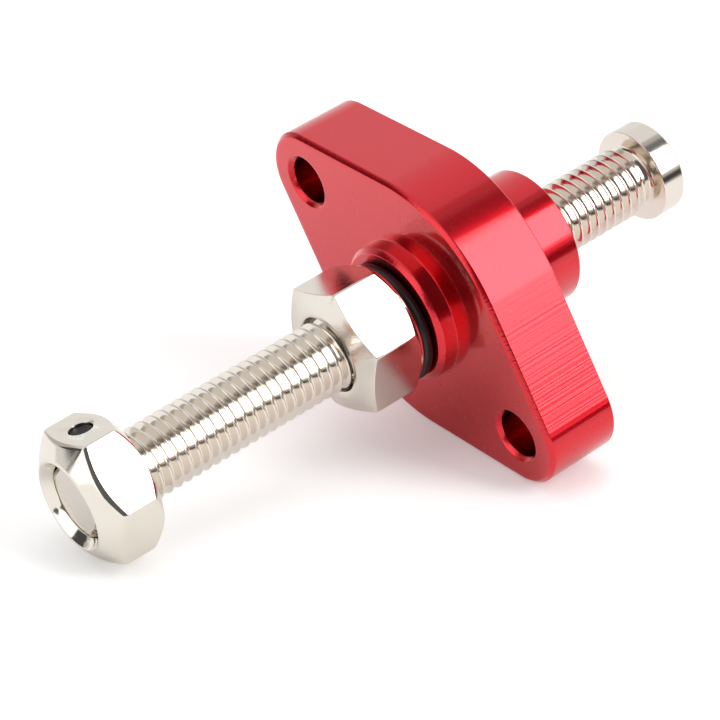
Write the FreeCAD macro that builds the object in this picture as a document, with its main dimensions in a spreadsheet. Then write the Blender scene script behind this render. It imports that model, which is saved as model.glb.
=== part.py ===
import FreeCAD, Part
import math
import os
import Sketcher

# Manual cam chain tensioner for a motorbike engine, in millimetres.
# The stud's axis is X, pointing into the engine, and the origin is the middle of the flange's
# mounting face. One straight side of the flange is level, so it faces -Z.

doc = FreeCAD.newDocument("cam_chain_tensioner")
Vector = FreeCAD.Vector

# Driving dimensions
DIMENSIONS = {
    # the stud's thread, which is drawn as a plain cylinder of its outer diameter
    "stud_d": (9.8, "outer diameter of the M10 thread"),
    "thread_clear": (0.06, "radial clearance of the stud in each bore"),
    # the flanged body
    "bolt_spacing": (45.0, "distance between the two bolt holes"),
    "bolt_hole_d": (6.6, "clearance hole for an M6 bolt"),
    "bolt_hole_bevel": (0.6, "countersink at the mouth of a bolt hole"),
    "flange_thick": (10.9, "thickness of the flange"),
    "flange_width": (37.4, "width across the middle of the flange"),
    "flange_mid_r": (20.6, "radius of the flange's wide middle"),
    "flange_end_r": (7.1, "radius of the flange's ends"),
    "flange_clock": (31.8, "turn of the bolt hole line about X, in degrees"),
    "flange_bevel": (0.55, "chamfer round the flange's front face"),
    "edge_break": (0.15, "small chamfer that takes off a sharp edge"),
    "boss_d": (19.5, "diameter of the front boss"),
    "boss_tall": (2.75, "height of the front boss"),
    "boss_bevel": (0.67, "chamfer of the front boss"),
    "spigot_d": (19.4, "diameter of the spigot that enters the engine"),
    "spigot_long": (10.8, "length of the spigot"),
    "bore_bevel": (0.6, "lead-in chamfer of a threaded bore"),
    # the sealing ring, which hangs a little low on the stud
    "ring_thick": (1.9, "squeezed thickness of the ring"),
    "ring_wide": (3.0, "radial width of the ring"),
    "ring_bulge": (0.5, "how far the squeezed rubber bulges outwards"),
    "ring_sag": (0.5, "how far the ring hangs below the axis"),
    "ring_gap": (0.02, "clearance between the ring and the lock nut"),
    # the lock nut
    "hex_flats": (17.0, "width across the flats of both hexagons"),
    "nut_tall": (9.3, "height of the lock nut"),
    "nut_clock": (42.2, "turn of the lock nut about X, in degrees"),
    "nut_face_d": (12.2, "diameter where the nut's front cone starts"),
    "nut_cone": (20.5, "angle of the nut's front cone, in degrees"),
    "collar_d": (18.8, "diameter of the nut's round collar"),
    "collar_thick": (0.6, "thickness of the collar"),
    "collar_cone": (40.0, "angle of the corner cut beside the collar, in degrees"),
    # the stud
    "stud_long": (93.9, "from the pusher's underside to the outer end"),
    "stud_bevel": (0.65, "chamfer at the stud's outer end"),
    "pusher_d": (13.3, "diameter of the pusher head"),
    "pusher_thick": (3.8, "thickness of the pusher head"),
    "pusher_reach": (29.3, "from the mounting face to the pusher's underside"),
    "neck_d": (8.0, "diameter of the thread relief"),
    "neck_long": (2.2, "length of the thread relief"),
    # the hexagon that is pinned to the stud's outer end
    "end_tall": (8.48, "height of the end hexagon"),
    "end_clock": (-12.0, "turn of the end hexagon about X, in degrees"),
    "end_recess": (1.18, "how far the stud's end lies below the hexagon's face"),
    "end_face_d": (12.4, "diameter where the end hexagon's front cone starts"),
    "end_cone": (35.0, "angle of the end hexagon's front cone, in degrees"),
    "end_crease": (0.5, "bevel where the front cone meets a flat"),
    "end_sink": (1.1, "countersink in front of the stud's end"),
    "end_back_d": (16.8, "diameter where the back chamfer starts"),
    "end_back_cone": (45.0, "angle of the back chamfer, in degrees"),
    "pin_d": (3.1, "diameter of the lock pin"),
    "pin_clear": (0.05, "radial clearance of the pin in its hole"),
    "pin_sunk": (0.3, "how far the pin's top lies below the flat"),
    "pin_back": (5.13, "from the hexagon's face to the pin's axis"),
}

sheet = doc.addObject("Spreadsheet::Sheet", "dims")
for row, (name, (value, meaning)) in enumerate(DIMENSIONS.items(), start=1):
    sheet.set(f"A{row}", meaning)
    sheet.set(f"B{row}", str(value))
    sheet.setAlias(f"B{row}", name)
doc.recompute()

# Sizes that several pieces share, worked out from the sheet
STUD_R = "dims.stud_d / 2"
BORE_R = "(dims.stud_d / 2 + dims.thread_clear)"
CORNER_R = "(dims.hex_flats / sqrt(3))"
BOSS_FACE_X = "(-dims.flange_thick - dims.boss_tall)"
NUT_SEAT_X = "(-dims.flange_thick - dims.boss_tall - dims.ring_thick)"
END_FACE_X = "(dims.pusher_reach - dims.stud_long - dims.end_recess)"


def number(expression):
    """The present value of an expression on the sheet."""
    value = sheet.evalExpression(expression)
    return float(getattr(value, "Value", value))


def new_body(label):
    """A body for one sub-part, with the label that names its file."""
    body = doc.addObject("PartDesign::Body", label)
    body.Label = label
    return body


def new_sketch(body, name, role, offset="0"):
    """A sketch on one of the body's own origin planes, moved along the plane's normal by offset."""
    sketch = body.newObject("Sketcher::SketchObject", name)
    planes = [p for p in body.Origin.OriginFeatures if p.Role == role]
    sketch.AttachmentSupport = [(planes[0], "")]
    sketch.MapMode = "FlatFace"
    sketch.setExpression("AttachmentOffset.Base.z", offset)
    return sketch


def bind(sketch, constraint, expression):
    """Add a dimension to a sketch and bind it to the sheet."""
    index = sketch.addConstraint(constraint)
    sketch.setExpression(f"Constraints[{index}]", expression)


def place_point(sketch, geometry, end, along, across):
    """Fix a point of a sketch by its two coordinates; "0" puts it on the sketch's axis."""
    if along == "0":
        sketch.addConstraint(Sketcher.Constraint("PointOnObject", geometry, end, -2))
    else:
        bind(sketch, Sketcher.Constraint("DistanceX", -1, 1, geometry, end, number(along)), along)
    if across == "0":
        sketch.addConstraint(Sketcher.Constraint("PointOnObject", geometry, end, -1))
    else:
        bind(sketch, Sketcher.Constraint("DistanceY", -1, 1, geometry, end, number(across)), across)


def polygon(sketch, corners):
    """A closed outline of straight lines through corners, each a pair of expressions."""
    points = [Vector(number(along), number(across), 0) for along, across in corners]
    count = len(points)
    for i in range(count):
        sketch.addGeometry(Part.LineSegment(points[i], points[(i + 1) % count]), False)
    for i in range(count):
        sketch.addConstraint(Sketcher.Constraint("Coincident", i, 2, (i + 1) % count, 1))
    for i, (along, across) in enumerate(corners):
        place_point(sketch, i, 1, along, across)


def turned(body, kind, name, corners):
    """A revolved feature about X; each corner is its place along X and its radius."""
    sketch = new_sketch(body, name + "_profile", "XZ_Plane")
    polygon(sketch, corners)
    return turn(body, kind, name, sketch)


def turn(body, kind, name, sketch):
    """Revolve a finished profile about X, adding or cutting material."""
    feature = body.newObject("PartDesign::" + kind, name)
    feature.Profile = sketch
    feature.ReferenceAxis = (sketch, ["H_Axis"])
    feature.Angle = 360
    doc.recompute()
    return feature


def pad(body, name, sketch, length):
    """Pad a sketch along +X."""
    feature = body.newObject("PartDesign::Pad", name)
    feature.Profile = sketch
    feature.setExpression("Length", length)
    doc.recompute()
    return feature


def hexagon(body, name, offset):
    """A hexagon sketch about X, with its first corner on the sketch's horizontal axis."""
    sketch = new_sketch(body, name, "YZ_Plane", offset)
    radius = number(CORNER_R)
    turns = [math.radians(60 * i) for i in range(6)]
    points = [Vector(radius * math.cos(t), radius * math.sin(t), 0) for t in turns]
    for i in range(6):
        sketch.addGeometry(Part.LineSegment(points[i], points[(i + 1) % 6]), False)
    circle = sketch.addGeometry(Part.Circle(Vector(0, 0, 0), Vector(0, 0, 1), radius), True)
    for i in range(6):
        sketch.addConstraint(Sketcher.Constraint("Coincident", i, 2, (i + 1) % 6, 1))
        sketch.addConstraint(Sketcher.Constraint("PointOnObject", i, 1, circle))
    for i in range(1, 6):
        sketch.addConstraint(Sketcher.Constraint("Equal", 0, i))
    sketch.addConstraint(Sketcher.Constraint("Coincident", circle, 3, -1, 1))
    sketch.addConstraint(Sketcher.Constraint("PointOnObject", 0, 1, -1))
    bind(sketch, Sketcher.Constraint("Radius", circle, radius), CORNER_R)
    return sketch


def bevel_rim(body, name, base, face_x, size):
    """Chamfer the outer rim of the flat face that lies at face_x."""
    rim = []
    for face in base.Shape.Faces:
        box = face.BoundBox
        if abs(box.XMin - face_x) < 1e-6 and abs(box.XMax - face_x) < 1e-6:
            rim += face.OuterWire.Edges
    names = []
    for index, edge in enumerate(base.Shape.Edges, start=1):
        if any(edge.isSame(other) for other in rim):
            names.append(f"Edge{index}")
    feature = body.newObject("PartDesign::Chamfer", name)
    feature.Base = (base, names)
    feature.setExpression("Size", size)
    doc.recompute()
    return feature


def place(body, along, turn_about_x="0", lift="0"):
    """Put a sub-part at its place along X, turned about X and lifted along Z."""
    body.Placement = FreeCAD.Placement(Vector(0, 0, 0), FreeCAD.Rotation(Vector(1, 0, 0), 1))
    body.setExpression("Placement.Base.x", along)
    body.setExpression("Placement.Base.z", lift)
    body.setExpression("Placement.Rotation.Angle", turn_about_x)


def tangent_chain(sketch, pieces):
    """Join arcs and lines end to end, each tangent to the next."""
    for first, second in zip(pieces, pieces[1:] + pieces[:1]):
        sketch.addConstraint(Sketcher.Constraint("Tangent", first[0], first[2], second[0], second[1]))


# Flanged body: a rhombic plate with a boss in front and a spigot behind, bored through
def flange_outline(body):
    """Two round ends and a round middle on each side, joined by tangent straight sides."""
    sketch = new_sketch(body, "flange_outline", "YZ_Plane", "-dims.flange_thick")
    half = number("dims.bolt_spacing / 2")
    end_r = number("dims.flange_end_r")
    mid_r = number("dims.flange_mid_r")
    mid_y = number("dims.flange_width / 2 - dims.flange_mid_r")
    lean = math.acos((mid_r - end_r) / math.hypot(half, mid_y)) - math.atan2(mid_y, half)
    normal = Vector(0, 0, 1)
    ends = ((half, 0, end_r), (0, mid_y, mid_r), (-half, 0, end_r), (0, -mid_y, mid_r))
    stops = (-lean, lean, math.pi - lean, math.pi + lean, 2 * math.pi - lean)
    arcs = []
    for (y, z, radius), start, stop in zip(ends, stops, stops[1:]):
        circle = Part.Circle(Vector(y, z, 0), normal, radius)
        arcs.append(sketch.addGeometry(Part.ArcOfCircle(circle, start, stop), False))
    chain = []
    for arc, following in zip(arcs, arcs[1:] + arcs[:1]):
        start = sketch.Geometry[arc].EndPoint
        stop = sketch.Geometry[following].StartPoint
        line = sketch.addGeometry(Part.LineSegment(start, stop), False)
        chain += [(arc, 1, 2), (line, 1, 2)]
    tangent_chain(sketch, chain)
    right, top, left, bottom = arcs
    place_point(sketch, right, 3, "dims.bolt_spacing / 2", "0")
    place_point(sketch, left, 3, "-dims.bolt_spacing / 2", "0")
    place_point(sketch, top, 3, "0", "dims.flange_width / 2 - dims.flange_mid_r")
    place_point(sketch, bottom, 3, "0", "dims.flange_mid_r - dims.flange_width / 2")
    for arc, radius in ((right, "end"), (left, "end"), (top, "mid"), (bottom, "mid")):
        value = f"dims.flange_{radius}_r"
        bind(sketch, Sketcher.Constraint("Radius", arc, number(value)), value)
    return sketch


def bolt_hole_profile(body, side):
    """Half section of a bolt hole with its countersink, drawn beside the hole's own axis."""
    sketch = new_sketch(body, f"bolt_hole_{side}_profile", "XY_Plane")
    middle = "dims.bolt_spacing / 2"
    wall = middle + " + dims.bolt_hole_d / 2"
    mouth = wall + " + dims.bolt_hole_bevel"
    rear = wall + " + dims.edge_break"
    corners = [
        ("-dims.flange_thick", middle),
        ("-dims.flange_thick", mouth),
        ("dims.bolt_hole_bevel - dims.flange_thick", wall),
        ("-dims.edge_break", wall),
        ("0", rear),
        ("0", middle),
    ]
    if side == "left":
        corners = [(along, f"-({across})") for along, across in corners]
    polygon(sketch, corners)
    return sketch


def make_tensioner_body():
    body = new_body("tensioner_body")
    flange = pad(body, "flange", flange_outline(body), "dims.flange_thick")
    front = bevel_rim(body, "front_bevel", flange, number("-dims.flange_thick"), "dims.flange_bevel")
    bevel_rim(body, "rear_break", front, 0.0, "dims.edge_break")
    boss_r = "dims.boss_d / 2"
    root = "-dims.flange_thick / 2"
    turned(body, "Revolution", "boss", [
        (root, BORE_R),
        (root, boss_r),
        (BOSS_FACE_X + " + dims.boss_bevel", boss_r),
        (BOSS_FACE_X, boss_r + " - dims.boss_bevel"),
        (BOSS_FACE_X, BORE_R),
    ])
    spigot_r = "dims.spigot_d / 2"
    turned(body, "Revolution", "spigot", [
        (root, BORE_R),
        (root, spigot_r),
        ("dims.spigot_long - dims.edge_break", spigot_r),
        ("dims.spigot_long", spigot_r + " - dims.edge_break"),
        ("dims.spigot_long", BORE_R),
    ])
    turned(body, "Groove", "threaded_bore", [
        (BOSS_FACE_X, "0"),
        (BOSS_FACE_X, BORE_R + " + dims.bore_bevel"),
        (BOSS_FACE_X + " + dims.bore_bevel", BORE_R),
        ("dims.spigot_long - dims.bore_bevel", BORE_R),
        ("dims.spigot_long", BORE_R + " + dims.bore_bevel"),
        ("dims.spigot_long", "0"),
    ])
    for side in ("right", "left"):
        sketch = bolt_hole_profile(body, side)
        hole = body.newObject("PartDesign::Groove", f"bolt_hole_{side}")
        hole.Profile = sketch
        # the sixth line of the profile lies on the hole's axis
        hole.ReferenceAxis = (sketch, ["Edge6"])
        hole.Angle = 360
        doc.recompute()
    place(body, "0", "dims.flange_clock")
    return body


# Sealing ring: a rubber ring squeezed between the boss and the lock nut, so that it bulges outwards
def make_o_ring():
    body = new_body("o_ring")
    sketch = new_sketch(body, "ring_profile", "XZ_Plane")
    thick = "(dims.ring_thick - dims.ring_gap)"
    inner = f"({BORE_R} + dims.ring_sag)"
    bulge_r = f"({thick} ^ 2 / 4 + dims.ring_bulge ^ 2) / (2 * dims.ring_bulge)"
    bulge_middle = f"{inner} + dims.ring_wide - {bulge_r}"
    width = number(thick)
    radius = number(bulge_r)
    middle = Vector(-width / 2, number(bulge_middle), 0)
    rise = math.acos(width / 2 / radius)
    circle = Part.Circle(middle, Vector(0, 0, 1), radius)
    bulge = sketch.addGeometry(Part.ArcOfCircle(circle, rise, math.pi - rise), False)
    corners = [
        sketch.Geometry[bulge].EndPoint,
        Vector(-width, number(inner), 0),
        Vector(0, number(inner), 0),
        sketch.Geometry[bulge].StartPoint,
    ]
    sides = [bulge]
    for start, stop in zip(corners, corners[1:]):
        sides.append(sketch.addGeometry(Part.LineSegment(start, stop), False))
    for side, following in zip(sides, sides[1:] + sides[:1]):
        sketch.addConstraint(Sketcher.Constraint("Coincident", side, 2, following, 1))
    inner_wall, boss_side = sides[2:]
    place_point(sketch, inner_wall, 1, "-" + thick, inner)
    place_point(sketch, boss_side, 1, "0", inner)
    place_point(sketch, bulge, 3, f"-{thick} / 2", bulge_middle)
    bind(sketch, Sketcher.Constraint("Radius", bulge, radius), bulge_r)
    sketch.addConstraint(Sketcher.Constraint("Vertical", sides[1]))
    sketch.addConstraint(Sketcher.Constraint("Vertical", boss_side))
    turn(body, "Revolution", "ring", sketch)
    place(body, BOSS_FACE_X, lift="-dims.ring_sag")
    return body


def bored_through(body, front, back, sink):
    """A threaded bore with a countersink at each end; sink is the size of the front one."""
    turned(body, "Groove", "threaded_bore", [
        (front, "0"),
        (front, f"{BORE_R} + {sink}"),
        (f"{front} + {sink}", BORE_R),
        (back + " - dims.bore_bevel", BORE_R),
        (back, BORE_R + " + dims.bore_bevel"),
        (back, "0"),
    ])


# Lock nut: a tall hexagon with a shallow cone in front and a round collar at its seat
def make_lock_nut():
    body = new_body("lock_nut")
    outline = hexagon(body, "hexagon_outline", "-dims.nut_tall")
    pad(body, "hexagon", outline, "dims.nut_tall - dims.collar_thick")
    outside = CORNER_R + " + dims.collar_thick"
    face_r = "dims.nut_face_d / 2"
    turned(body, "Groove", "front_cone", [
        ("-dims.nut_tall", face_r),
        (f"({outside} - {face_r}) * tan(dims.nut_cone * 1 deg) - dims.nut_tall", outside),
        ("-dims.nut_tall", outside),
    ])
    collar_r = "dims.collar_d / 2"
    turned(body, "Groove", "corner_cut", [
        ("-dims.collar_thick", collar_r),
        ("-dims.collar_thick", outside),
        (f"-dims.collar_thick - ({outside} - {collar_r}) * tan(dims.collar_cone * 1 deg)", outside),
    ])
    turned(body, "Revolution", "collar", [
        ("-dims.collar_thick - dims.edge_break", BORE_R),
        ("-dims.collar_thick - dims.edge_break", collar_r + " - dims.edge_break"),
        ("-dims.collar_thick", collar_r),
        ("-dims.edge_break", collar_r),
        ("0", collar_r + " - dims.edge_break"),
        ("0", BORE_R),
    ])
    bored_through(body, "-dims.nut_tall", "0", "dims.bore_bevel")
    place(body, NUT_SEAT_X, "dims.nut_clock")
    return body


# Stud: threaded over its length, with a flat pusher head and a thread relief under it
def make_adjuster_stud():
    body = new_body("adjuster_stud")
    pusher_r = "dims.pusher_d / 2"
    neck_r = "dims.neck_d / 2"
    turned(body, "Revolution", "stud", [
        ("-dims.stud_long", "0"),
        ("-dims.stud_long", STUD_R + " - dims.stud_bevel"),
        ("dims.stud_bevel - dims.stud_long", STUD_R),
        (f"-dims.neck_long - ({STUD_R} - {neck_r})", STUD_R),
        ("-dims.neck_long", neck_r),
        ("0", neck_r),
        ("0", pusher_r + " - dims.edge_break"),
        ("dims.edge_break", pusher_r),
        ("dims.pusher_thick - 2 * dims.edge_break", pusher_r),
        ("dims.pusher_thick", pusher_r + " - 2 * dims.edge_break"),
        ("dims.pusher_thick", "0"),
    ])
    place(body, "dims.pusher_reach")
    return body


# End hexagon: screwed on the stud's outer end, with a softened front cone and a pin hole in one flat
def bevel_creases(body, base):
    """Bevel the six curved edges where the front cone meets the flats."""
    flat_r = number("dims.hex_flats / 2")
    middle = number("dims.end_tall / 2")
    names = []
    for index, edge in enumerate(base.Shape.Edges, start=1):
        nearest = min(math.hypot(corner.Y, corner.Z) for corner in edge.Vertexes)
        if edge.BoundBox.XMax < middle and nearest > flat_r:
            names.append(f"Edge{index}")
    feature = body.newObject("PartDesign::Chamfer", "crease_bevel")
    feature.Base = (base, names)
    feature.setExpression("Size", "dims.end_crease")
    doc.recompute()


def pin_circle(body, name, radius, offset):
    """A circle on the pin's axis, which stands on the hexagon's upper flat."""
    sketch = new_sketch(body, name, "XY_Plane", offset)
    middle = Vector(number("dims.pin_back"), 0, 0)
    circle = sketch.addGeometry(Part.Circle(middle, Vector(0, 0, 1), number(radius)), False)
    bind(sketch, Sketcher.Constraint("Radius", circle, number(radius)), radius)
    place_point(sketch, circle, 3, "dims.pin_back", "0")
    return sketch


def make_hex_end_nut():
    body = new_body("hex_end_nut")
    pad(body, "hexagon", hexagon(body, "hexagon_outline", "0"), "dims.end_tall")
    face_r = "dims.end_face_d / 2"
    outside = CORNER_R + " + dims.edge_break"
    cone = turned(body, "Groove", "front_cone", [
        ("0", face_r),
        (f"({outside} - {face_r}) * tan(dims.end_cone * 1 deg)", outside),
        ("0", outside),
    ])
    bevel_creases(body, cone)
    back_r = "dims.end_back_d / 2"
    turned(body, "Groove", "back_chamfer", [
        ("dims.end_tall", back_r),
        ("dims.end_tall", outside),
        (f"dims.end_tall - ({outside} - {back_r}) * tan(dims.end_back_cone * 1 deg)", outside),
    ])
    bored_through(body, "0", "dims.end_tall", "dims.end_sink")
    sketch = pin_circle(body, "pin_hole_outline", "dims.pin_d / 2 + dims.pin_clear", "0")
    hole = body.newObject("PartDesign::Pocket", "pin_hole")
    hole.Profile = sketch
    hole.Type = "ThroughAll"
    hole.Reversed = True
    doc.recompute()
    place(body, END_FACE_X, "dims.end_clock")
    return body


# Lock pin: fills its hole from the stud's thread to just under the flat
def make_lock_pin():
    body = new_body("lock_pin")
    length = f"dims.hex_flats / 2 - dims.pin_sunk - {BORE_R}"
    pin = pad(body, "pin", pin_circle(body, "pin_outline", "dims.pin_d / 2", BORE_R), length)
    tops = []
    for index, edge in enumerate(pin.Shape.Edges, start=1):
        if edge.BoundBox.ZMin > number(f"{BORE_R} + ({length}) / 2"):
            tops.append(f"Edge{index}")
    rim = body.newObject("PartDesign::Chamfer", "top_break")
    rim.Base = (pin, tops)
    rim.setExpression("Size", "dims.edge_break")
    doc.recompute()
    place(body, END_FACE_X, "dims.end_clock")
    return body


# Build every sub-part, check it and write its file
subparts = [
    make_tensioner_body(),
    make_o_ring(),
    make_lock_nut(),
    make_adjuster_stud(),
    make_hex_end_nut(),
    make_lock_pin(),
]
doc.recompute()

for item in doc.Objects:
    if "Invalid" in item.State or "Error" in item.State:
        raise RuntimeError(f"{item.Label} did not rebuild: {item.State}")
for body in subparts:
    shape = body.Shape
    if shape.isNull() or not shape.isValid() or len(shape.Solids) != 1:
        raise RuntimeError(f"{body.Label} is not one valid solid")

os.makedirs("parts", exist_ok=True)
for body in subparts:
    body.Shape.exportStep(f"parts/{body.Label}.step")
    size = body.Shape.BoundBox
    print(body.Label, f"{body.Shape.Volume:.1f} mm3", f"x {size.XMin:.2f} to {size.XMax:.2f}")
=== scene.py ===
# %% [markdown]
# # A cam chain tensioner in Blender
# A manual tensioner pushes on an engine's cam chain. Its red anodised body is bolted to the engine, and a
# long nickel plated stud screws through the body and pushes with its flat head. A lock nut holds the
# stud, a rubber ring seals it, and a hexagon that is pinned to the stud's outer end turns it.
#
# The CAD frame has every piece as a plain solid that can move. This lesson gives each one the shape and
# the finish that the eye sees, lights them on a white floor and sets up one picture. Sizes are in
# millimetres until they reach a mesh, X is the stud's axis, and the mounting face lies at X = 0.

# %% Load the CAD frame
import math

import bmesh
import bpy
from mathutils import Matrix, Vector


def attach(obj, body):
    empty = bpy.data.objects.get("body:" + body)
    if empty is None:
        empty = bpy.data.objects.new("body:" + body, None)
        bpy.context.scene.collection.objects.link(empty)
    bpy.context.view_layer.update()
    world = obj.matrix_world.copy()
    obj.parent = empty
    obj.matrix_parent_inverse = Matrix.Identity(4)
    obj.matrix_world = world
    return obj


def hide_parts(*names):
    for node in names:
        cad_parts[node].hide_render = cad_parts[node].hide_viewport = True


MM = 0.001
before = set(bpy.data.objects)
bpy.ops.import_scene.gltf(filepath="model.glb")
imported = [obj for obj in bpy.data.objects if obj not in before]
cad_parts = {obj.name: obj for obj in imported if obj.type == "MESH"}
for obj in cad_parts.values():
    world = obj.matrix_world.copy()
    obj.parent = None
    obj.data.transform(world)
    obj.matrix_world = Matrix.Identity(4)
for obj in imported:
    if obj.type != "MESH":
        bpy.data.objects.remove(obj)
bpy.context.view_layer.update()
print("CAD nodes:", ", ".join(sorted(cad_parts)))


# %% [markdown]
# ## Soft corners
# No edge on the real part is perfectly sharp: the cutter and the plating leave it a little round, and
# the thin highlight there is what shows the shape. A Bevel modifier could round the finished meshes, but
# it would also find the many short edges that only make up curves. Here each section line is softened
# before it becomes a surface, so every corner gets its own small curve and nothing else changes.

# %% Soften a section line
LARGEST_SHARE = 0.4  # a curve takes up no more than this share of the line on each side
SHORTEST = 1e-9


def soften(corners, size, steps=2):
    """Replace each inner corner of an open line with the points of a short curve."""
    points = [Vector(corner) for corner in corners]
    smooth = [points[0]]
    for before, corner, after in zip(points, points[1:], points[2:]):
        first = corner.lerp(before, min(size / max((before - corner).length, SHORTEST), LARGEST_SHARE))
        last = corner.lerp(after, min(size / max((after - corner).length, SHORTEST), LARGEST_SHARE))
        for i in range(steps + 1):
            part = i / steps
            smooth.append(first.lerp(corner, part).lerp(corner.lerp(last, part), part))
    return smooth + [points[-1]]


print("a softened right angle has", len(soften([(0, 1), (0, 0), (1, 0)], 0.1)), "points")


# %% [markdown]
# ## Turned shapes
# The boss, the bore, the spigot, the bolt holes, the rubber ring and the pusher head are round, as they
# come from a lathe, a drill or a mould. Cylinders and cones could be joined up, but each joint would
# need its own rounding. The spin operator does what a lathe does: it carries one section line round the
# axis. Each point also notes how far round it lies, because the tool marks are counted along the edge.

# %% Turn a line round an axis
FULL_TURN = 2 * math.pi
WELD = 0.0005 * MM


def turned(bm, line, steps, centre=(0.0, 0.0)):
    """Spin a line of (x, radius) points once round X, or round a line beside it."""
    way_round = bm.verts.layers.float.get("around_mm") or bm.verts.layers.float.new("around_mm")
    earlier = set(bm.verts)
    middle = Vector((0.0, *centre)) * MM
    first = [bm.verts.new(middle + Vector((x, radius, 0.0)) * MM) for x, radius in line]
    edges = [bm.edges.new(pair) for pair in zip(first, first[1:])]
    bmesh.ops.spin(
        bm, geom=first + edges, cent=middle, axis=(1, 0, 0), angle=FULL_TURN, steps=steps, use_merge=True,
    )
    made = [vert for vert in bm.verts if vert not in earlier]
    outermost = max(radius for x, radius in line)
    for vert in made:
        spot = vert.co - middle
        vert[way_round] = math.atan2(spot.z, spot.y) % FULL_TURN * outermost
    bmesh.ops.remove_doubles(bm, verts=made, dist=WELD)
    print(f"turned: a line of {len(line)} points in {steps} steps")
    return {face for vert in made if vert.is_valid for face in vert.link_faces}


# %% [markdown]
# ## Shapes that are not round
# The flange's edge and the two hexagons also run round the axis, but their radius changes on the way, so
# no spin can make them. A hexagon could be extruded and cut by a cone with a boolean, but a boolean
# leaves thin triangles along the cut, and bright plating shows each of them. Here a grid is bent round
# the axis: every line of the grid becomes the section at one angle, and the seam is welded.

# %% Bend a grid round the axis
def around(count):
    """Evenly spaced angles for one full turn."""
    return [FULL_TURN * i / count for i in range(count)]


def bent_grid(bm, angles, section):
    """Bend a grid round X; section gives the (x, radius) points of the line at an angle."""
    way_round = bm.verts.layers.float.get("around_mm") or bm.verts.layers.float.new("around_mm")
    lines = [section(angle) for angle in angles]
    turns = len(lines)
    points = len(lines[0])
    grid = bmesh.ops.create_grid(bm, x_segments=points - 1, y_segments=turns, size=1.0)["verts"]
    walked = 0.0
    last = None
    for i, vert in enumerate(grid):
        step, point = divmod(i, points)
        angle = angles[step % turns]
        line = lines[step % turns]
        if point == 0:
            outermost = max(radius for x, radius in line)
            spot = Vector((math.cos(angle), math.sin(angle))) * outermost
            walked += (spot - last).length if last else 0.0
            last = spot
        x, radius = line[point]
        vert.co = Vector((x, radius * math.cos(angle), radius * math.sin(angle))) * MM
        vert[way_round] = walked
    bmesh.ops.remove_doubles(bm, verts=grid, dist=WELD)
    print(f"bent grid: {turns} lines of {points} points, {walked:.1f} mm round")


# %% [markdown]
# ## From a mesh to a piece
# Each finished mesh becomes an object that rides on one moving body of the frame and takes the place of
# one CAD solid. Smooth shading alone would let the large flat faces look swollen beside the narrow
# curves of their edges. A Weighted Normal modifier gives the large faces the say, so flats stay flat.

# %% Keep a piece
LARGE_FACES_FIRST = 90
SAME_PLACE = 1e-7


def rim(bm, x):
    """The open edges that lie at one place along X."""
    open_edges = [edge for edge in bm.edges if edge.is_boundary]
    return [edge for edge in open_edges if all(abs(vert.co.x - x * MM) < SAME_PLACE for vert in edge.verts)]


def keep(bm, name, node, body):
    """Turn a bmesh into a piece that rides on a body and stands for one CAD node."""
    bmesh.ops.recalc_face_normals(bm, faces=bm.faces[:])
    for face in bm.faces:
        face.smooth = True
    mesh = bpy.data.meshes.new(name)
    bm.to_mesh(mesh)
    bm.free()
    piece = bpy.data.objects.new(name, mesh)
    bpy.context.scene.collection.objects.link(piece)
    normals = piece.modifiers.new("weighted_normals", "WEIGHTED_NORMAL")
    normals.weight = LARGE_FACES_FIRST
    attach(piece, body)
    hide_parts(node)
    print(f"{name}: {len(mesh.polygons)} faces")
    return piece


# %% [markdown]
# ## The flange's outline
# The body is milled from one billet. Its flange is a rhombus with round ends and a round middle, joined
# by straight sides that touch both. The outline could be drawn as a curve and extruded, but its chamfer
# would then be a bevel that slides along the arcs. Seen from the axis every ray meets this outline once,
# so here it is a radius for each angle. The same circles with smaller radii give the chamfer exactly.

# %% The outline as a radius
BOLT_HALF = 22.5
FLANGE_CLOCK = math.radians(31.8)
FLANGE_WIDE = 37.4
END_R = 7.1
MIDDLE_R = 20.6
MIDDLE_SHIFT = FLANGE_WIDE / 2 - MIDDLE_R
# how far apart the centres of an end and of the middle are, and the way that a side between them faces
BETWEEN = math.hypot(BOLT_HALF, MIDDLE_SHIFT)
LEAN = math.acos((MIDDLE_R - END_R) / BETWEEN) - math.atan2(MIDDLE_SHIFT, BOLT_HALF)


def ray_to_circle(angle, middle, radius):
    """How far a ray from the axis runs before it leaves a circle."""
    ray = Vector((math.cos(angle), math.sin(angle)))
    along = ray.dot(middle)
    return along + math.sqrt(radius**2 - middle.length_squared + along**2)


def flange_radius(angle, inset):
    """Radius of the flange's outline at an angle, drawn in by inset."""
    local = abs((angle - FLANGE_CLOCK + math.pi) % FULL_TURN - math.pi)
    local = min(local, math.pi - local)
    side_way = Vector((math.cos(LEAN), math.sin(LEAN)))
    end = Vector((BOLT_HALF, 0))
    middle = Vector((0, MIDDLE_SHIFT))
    end_touch = end + (END_R - inset) * side_way
    middle_touch = middle + (MIDDLE_R - inset) * side_way
    if local < math.atan2(end_touch.y, end_touch.x):
        return ray_to_circle(local, end, END_R - inset)
    if local > math.atan2(middle_touch.y, middle_touch.x):
        return ray_to_circle(local, middle, MIDDLE_R - inset)
    return end_touch.dot(side_way) / math.cos(local - LEAN)


print(f"each straight side leans {math.degrees(LEAN):.1f} degrees from the line of the bolts")

# %% The flange's section
FLANGE_FRONT = -10.9
FRONT_CHAMFER = 0.55
BACK_CHAMFER = 0.15
FACE_BORDER = 1.2


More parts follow.
